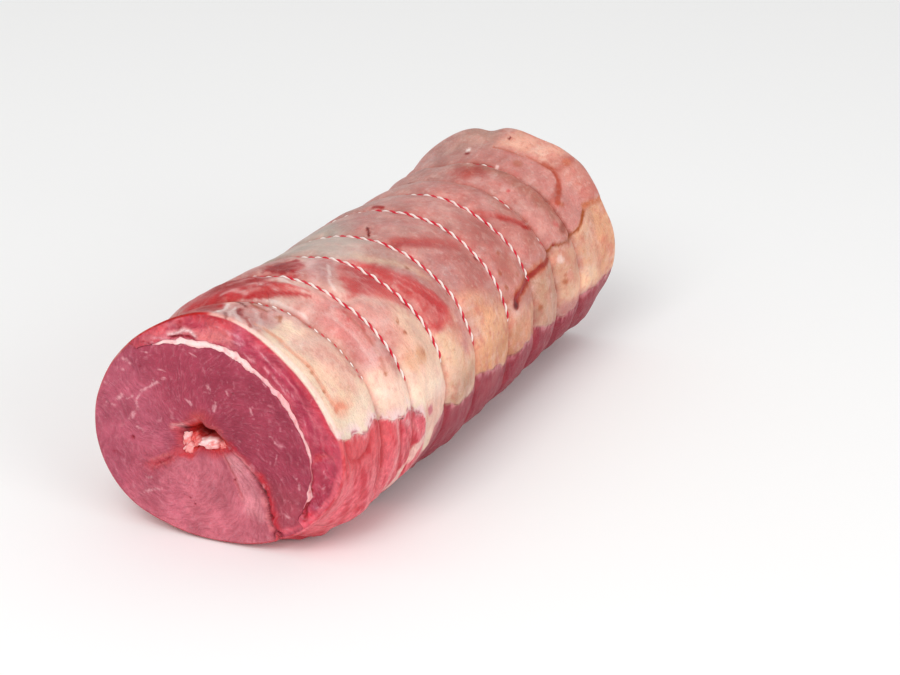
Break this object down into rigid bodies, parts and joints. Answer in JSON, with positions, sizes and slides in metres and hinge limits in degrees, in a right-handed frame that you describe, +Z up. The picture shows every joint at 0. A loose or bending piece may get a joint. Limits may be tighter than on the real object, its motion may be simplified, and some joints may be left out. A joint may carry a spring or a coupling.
{
  "type": "rolled beef brisket",
  "caption": "Raw boned beef brisket rolled into a long round joint and tied with string, with a spiral of lean and fat at each cut end and a fat cover over the top and one side.",
  "frame": {"origin": "on the surface that the roll lies on, under the middle of its length and of its width", "axes": "+Y along the roll from the front cut face to the back one, +Z up"},
  "size_m": [0.1423, 0.33, 0.1161],
  "materials": {
    "inner_muscle": "moist, finely grained raw muscle",
    "outer_muscle": "moist raw muscle with fine pale lines",
    "seam_fat": "soft satin fat",
    "cover_fat": "moist fat and membrane, cream to mauve with red stains",
    "centre_fat": "moist fat",
    "string": "two plies, red and white, twisted together"
  },
  "bodies": {
    "root": {"inner_muscle": "inner_muscle", "outer_muscle": "outer_muscle", "fat_seam": "seam_fat", "fat_cover": "cover_fat", "centre_fat": "centre_fat", "string_1": "string", "string_2": "string", "string_3": "string", "string_4": "string", "string_5": "string", "string_6": "string", "string_7": "string", "string_8": "string"}
  },
  "joints": []
}
